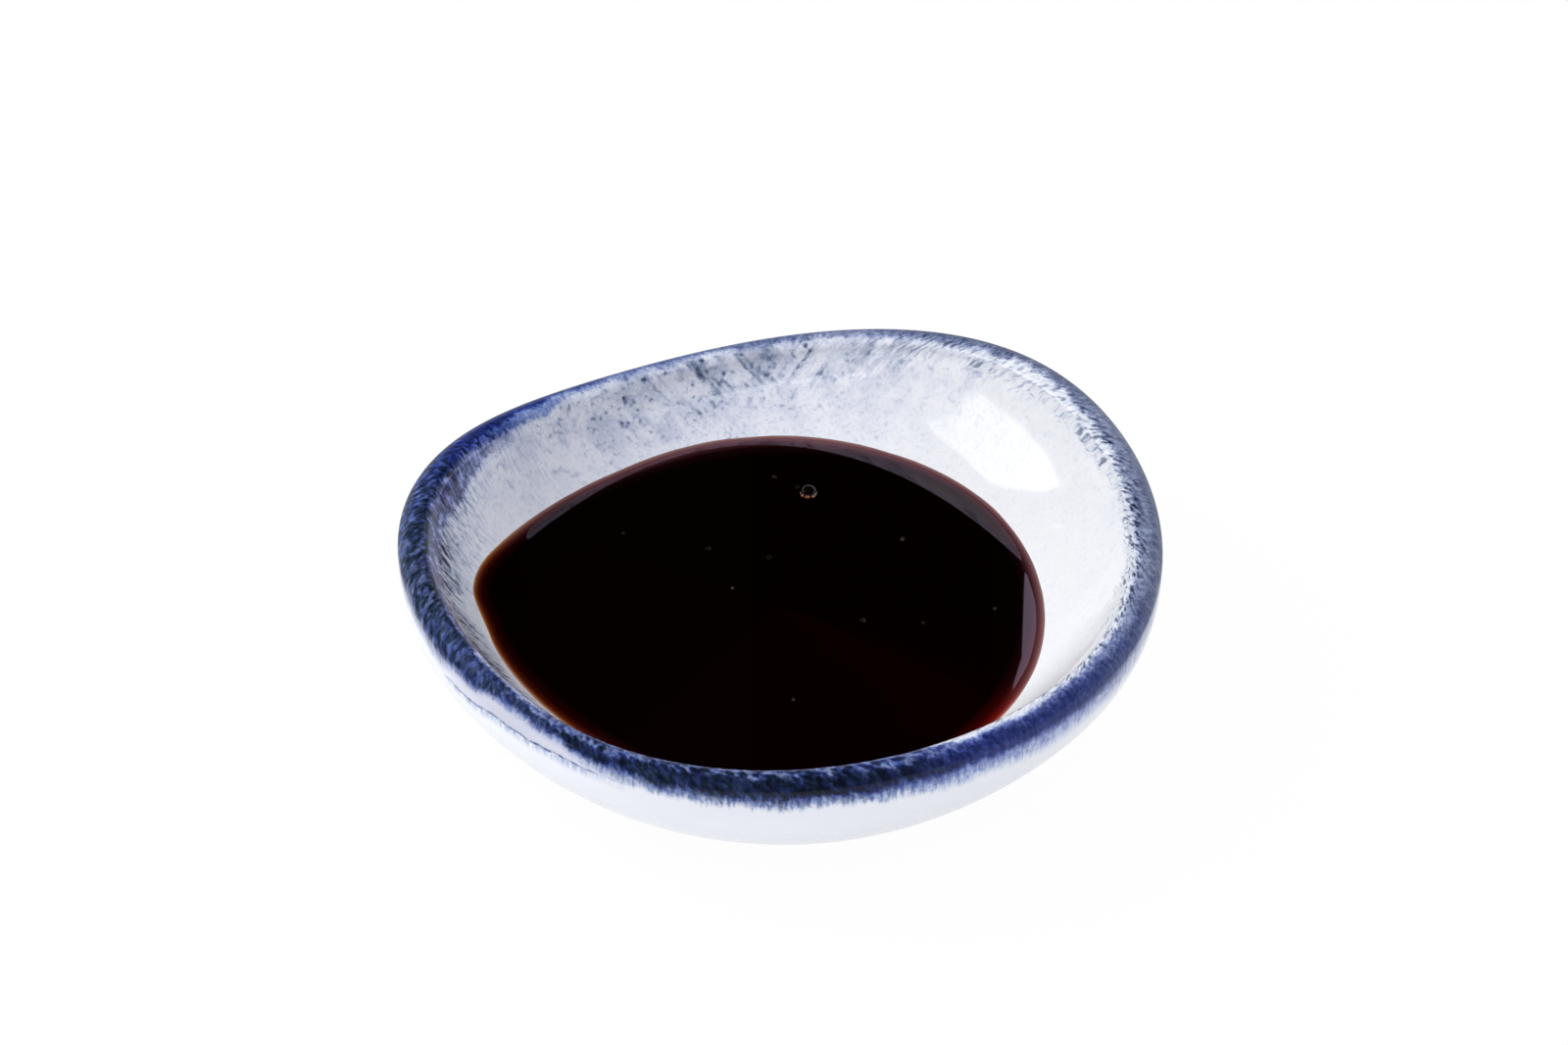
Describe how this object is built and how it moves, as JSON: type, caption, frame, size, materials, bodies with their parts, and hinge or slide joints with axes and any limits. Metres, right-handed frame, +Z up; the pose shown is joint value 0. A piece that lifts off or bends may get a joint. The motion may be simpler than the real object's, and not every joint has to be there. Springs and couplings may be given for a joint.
{
  "type": "soy sauce dish",
  "caption": "Small thick-walled porcelain dip dish of soft rounded outline with a wavy blue rim and a round foot ring, holding a shallow pool of dark sauce.",
  "frame": {"origin": "on the table surface under the middle of the dish's outline, at the level of the foot ring's bearing face", "axes": "+Z up; +X to the right and +Y away from the viewer in the pictured view; the long way of the outline runs along Y"},
  "size_m": [0.0982, 0.1054, 0.025],
  "materials": {
    "porcelain": "matte",
    "speckled_glaze": "gloss",
    "blue_glaze": "gloss",
    "white_glaze": "gloss",
    "soy_sauce": "gloss",
    "bubble_film": "gloss"
  },
  "bodies": {
    "root": {"porcelain_body": "porcelain", "inner_glaze": "speckled_glaze", "rim_glaze": "blue_glaze", "outer_glaze": "white_glaze", "base_glaze": "white_glaze", "soy_sauce": "soy_sauce", "air_bubbles": "bubble_film"}
  },
  "joints": []
}
